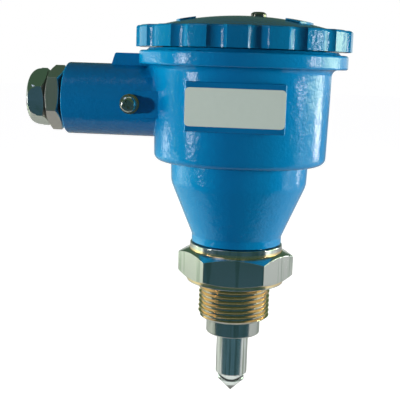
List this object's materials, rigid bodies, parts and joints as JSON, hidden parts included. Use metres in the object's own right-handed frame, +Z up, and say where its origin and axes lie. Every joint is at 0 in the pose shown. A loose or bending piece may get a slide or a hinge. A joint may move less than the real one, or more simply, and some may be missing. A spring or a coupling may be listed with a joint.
{
  "type": "optical liquid level sensor",
  "caption": "Screw-in optical level switch: cast junction head with screwed lid, cable arm with gland, and a slim probe with a glass prism below a hexagon fitting.",
  "frame": {"origin": "on the probe's axis in the sealing face under the hexagon's collar", "axes": "+Z up along the probe's axis to the lid, -X along the cable arm to the gland, -Y out of the label and the earth pad"},
  "size_m": [0.116, 0.0768, 0.1412],
  "materials": {
    "blue_paint": "blue powder coat with a slight orange peel",
    "stainless": "turned stainless steel",
    "polished_steel": "polished stainless steel",
    "golden_steel": "yellow passivated steel",
    "nickel": "nickel plated brass",
    "label_film": "pale printed film, left blank",
    "black_rubber": "black nitrile rubber",
    "glass": "clear glass",
    "black_plastic": "black moulded plastic",
    "green_plastic": "green moulded plastic",
    "circuit_board": "green lacquered laminate",
    "white_nylon": "white nylon",
    "relay_yellow": "yellow relay case",
    "grey_lead": "grey sheath",
    "clear_lens": "pale clear resin"
  },
  "bodies": {
    "housing": {"housing": "blue_paint", "rating_label": "label_film", "gland_body": "nickel", "gland_washer": "black_rubber", "gland_seal": "black_rubber", "process_fitting": "stainless", "fitting_o_ring": "black_rubber", "probe_sleeve": "polished_steel", "glass_prism": "glass", "prism_o_ring": "black_rubber", "optics_holder": "black_plastic", "emitter": "clear_lens", "receiver": "clear_lens", "probe_lead": "grey_lead", "power_board": "circuit_board", "terminal_board": "circuit_board", "transformer": "black_plastic", "capacitor": "black_plastic", "relay": "relay_yellow", "board_link": "black_plastic", "terminal_block": "green_plastic", "lower_spacer_1": "white_nylon", "lower_spacer_2": "white_nylon", "lower_spacer_3": "white_nylon", "upper_spacer_1": "white_nylon", "upper_spacer_2": "white_nylon", "upper_spacer_3": "white_nylon", "board_screw_1": "stainless", "board_screw_2": "stainless", "board_screw_3": "stainless"},
    "lid_o_ring": {"lid_o_ring": "black_rubber"},
    "lid": {"lid": "blue_paint", "lid_screw": "stainless"},
    "gland_thrust_ring": {"gland_thrust_ring": "nickel"},
    "gland_dome_nut": {"gland_dome_nut": "nickel"},
    "ground_washers": {"ground_flat_washer": "golden_steel", "ground_spring_washer": "stainless"},
    "ground_screw": {"ground_screw": "stainless"},
    "inner_earth_washer": {"inner_earth_washer": "golden_steel"},
    "inner_earth_screw": {"inner_earth_screw": "golden_steel"},
    "terminal_screw_1": {"terminal_screw_1": "stainless"},
    "terminal_cage_1": {"terminal_cage_1": "nickel"},
    "terminal_screw_2": {"terminal_screw_2": "stainless"},
    "terminal_cage_2": {"terminal_cage_2": "nickel"},
    "terminal_screw_3": {"terminal_screw_3": "stainless"},
    "terminal_cage_3": {"terminal_cage_3": "nickel"},
    "terminal_screw_4": {"terminal_screw_4": "stainless"},
    "terminal_cage_4": {"terminal_cage_4": "nickel"},
    "terminal_screw_5": {"terminal_screw_5": "stainless"},
    "terminal_cage_5": {"terminal_cage_5": "nickel"}
  },
  "joints": [
    {"name": "lid_lift", "type": "slide", "parent": "housing", "child": "lid_o_ring", "axis": [0, 0, 1], "range_m": [0, 0.00825]},
    {"name": "lid_turn", "type": "hinge", "parent": "lid_o_ring", "child": "lid", "pos_m": [0, 0, 0.0844], "axis": [0, 0, 1], "range_deg": [0, 1980]},
    {"name": "gland_ring_travel", "type": "slide", "parent": "housing", "child": "gland_thrust_ring", "axis": [-1, 0, 0], "range_m": [0, 0.0045]},
    {"name": "gland_nut_turn", "type": "hinge", "parent": "gland_thrust_ring", "child": "gland_dome_nut", "pos_m": [-0.0636, 0, 0.0651], "axis": [-1, 0, 0], "range_deg": [0, 1080]},
    {"name": "ground_washer_travel", "type": "slide", "parent": "housing", "child": "ground_washers", "axis": [0, -1, 0], "range_m": [0, 0.003]},
    {"name": "ground_screw_turn", "type": "hinge", "parent": "ground_washers", "child": "ground_screw", "pos_m": [-0.0383, -0.0139, 0.0643], "axis": [0, -1, 0], "range_deg": [0, 2161.2]},
    {"name": "inner_earth_washer_travel", "type": "slide", "parent": "housing", "child": "inner_earth_washer", "axis": [0, 0, 1], "range_m": [0, 0.003]},
    {"name": "inner_earth_screw_turn", "type": "hinge", "parent": "inner_earth_washer", "child": "inner_earth_screw", "pos_m": [0.0218, 0, 0.073], "axis": [0, 0, 1], "range_deg": [0, 2161.2]},
    {"name": "terminal_screw_turn_1", "type": "hinge", "parent": "housing", "child": "terminal_screw_1", "pos_m": [0, -0.01016, 0.0729], "axis": [0, 0, -1], "range_deg": [0, 1657.2]},
    {"name": "terminal_cage_lift_1", "type": "slide", "parent": "housing", "child": "terminal_cage_1", "axis": [0, 0, 1], "range_m": [0, 0.0023]},
    {"name": "terminal_screw_turn_2", "type": "hinge", "parent": "housing", "child": "terminal_screw_2", "pos_m": [0, -0.00508, 0.0729], "axis": [0, 0, -1], "range_deg": [0, 1657.2]},
    {"name": "terminal_cage_lift_2", "type": "slide", "parent": "housing", "child": "terminal_cage_2", "axis": [0, 0, 1], "range_m": [0, 0.0023]},
    {"name": "terminal_screw_turn_3", "type": "hinge", "parent": "housing", "child": "terminal_screw_3", "pos_m": [0, 0, 0.0729], "axis": [0, 0, -1], "range_deg": [0, 1657.2]},
    {"name": "terminal_cage_lift_3", "type": "slide", "parent": "housing", "child": "terminal_cage_3", "axis": [0, 0, 1], "range_m": [0, 0.0023]},
    {"name": "terminal_screw_turn_4", "type": "hinge", "parent": "housing", "child": "terminal_screw_4", "pos_m": [0, 0.00508, 0.0729], "axis": [0, 0, -1], "range_deg": [0, 1657.2]},
    {"name": "terminal_cage_lift_4", "type": "slide", "parent": "housing", "child": "terminal_cage_4", "axis": [0, 0, 1], "range_m": [0, 0.0023]},
    {"name": "terminal_screw_turn_5", "type": "hinge", "parent": "housing", "child": "terminal_screw_5", "pos_m": [0, 0.01016, 0.0729], "axis": [0, 0, -1], "range_deg": [0, 1657.2]},
    {"name": "terminal_cage_lift_5", "type": "slide", "parent": "housing", "child": "terminal_cage_5", "axis": [0, 0, 1], "range_m": [0, 0.0023]}
  ],
  "couplings": [
    {"joint": "lid_lift", "follows": "lid_turn", "m_per_rad": 0.00023873},
    {"joint": "gland_ring_travel", "follows": "gland_nut_turn", "m_per_rad": 0.00023873},
    {"joint": "ground_screw_turn", "follows": "ground_washer_travel", "rad_per_m": 12566},
    {"joint": "inner_earth_screw_turn", "follows": "inner_earth_washer_travel", "rad_per_m": 12566},
    {"joint": "terminal_screw_turn_1", "follows": "terminal_cage_lift_1", "rad_per_m": 12566},
    {"joint": "terminal_screw_turn_2", "follows": "terminal_cage_lift_2", "rad_per_m": 12566},
    {"joint": "terminal_screw_turn_3", "follows": "terminal_cage_lift_3", "rad_per_m": 12566},
    {"joint": "terminal_screw_turn_4", "follows": "terminal_cage_lift_4", "rad_per_m": 12566},
    {"joint": "terminal_screw_turn_5", "follows": "terminal_cage_lift_5", "rad_per_m": 12566}
  ]
}
